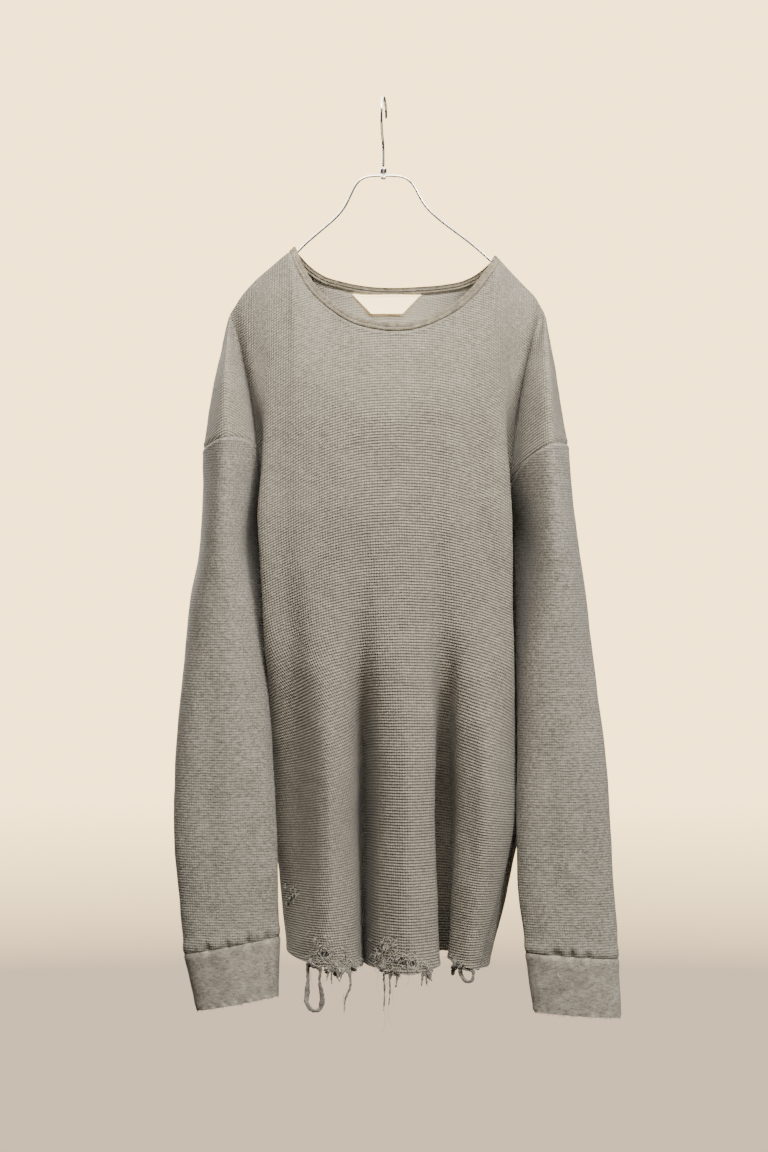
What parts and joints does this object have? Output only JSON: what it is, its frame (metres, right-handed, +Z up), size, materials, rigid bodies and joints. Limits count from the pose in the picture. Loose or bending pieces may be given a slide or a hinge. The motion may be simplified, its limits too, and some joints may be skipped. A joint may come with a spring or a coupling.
{
  "type": "long-sleeved thermal top on a wire hanger",
  "caption": "Waffle knit long-sleeved thermal top with a torn, frayed hem, hanging open from a thin chrome wire hanger.",
  "frame": {"origin": "inside the crown of the hanger's hook, where it rests on a rod", "axes": "+X to the viewer's right across the front, +Y from the front to the back, +Z up"},
  "size_m": [0.4644, 0.1754, 0.9603],
  "materials": {
    "waffle_knit": "matt waffle knit",
    "plain_rib": "matt plain knit",
    "label": "smooth woven tape",
    "chrome": "polished"
  },
  "bodies": {
    "root": {"front_panel": "waffle_knit", "back_panel": "waffle_knit", "sleeve_left": "waffle_knit", "sleeve_right": "waffle_knit", "cuff_left": "plain_rib", "cuff_right": "plain_rib", "neck_band": "plain_rib", "neck_label": "label", "hem_loop": "plain_rib", "hem_strand": "plain_rib", "hem_torn_band": "plain_rib", "hem_fray_1": "plain_rib", "hem_fray_2": "plain_rib", "hem_fray_3": "plain_rib", "hanger_frame": "chrome", "hanger_hook": "chrome", "hanger_ferrule": "chrome", "hanger_rivet": "chrome"}
  },
  "joints": []
}
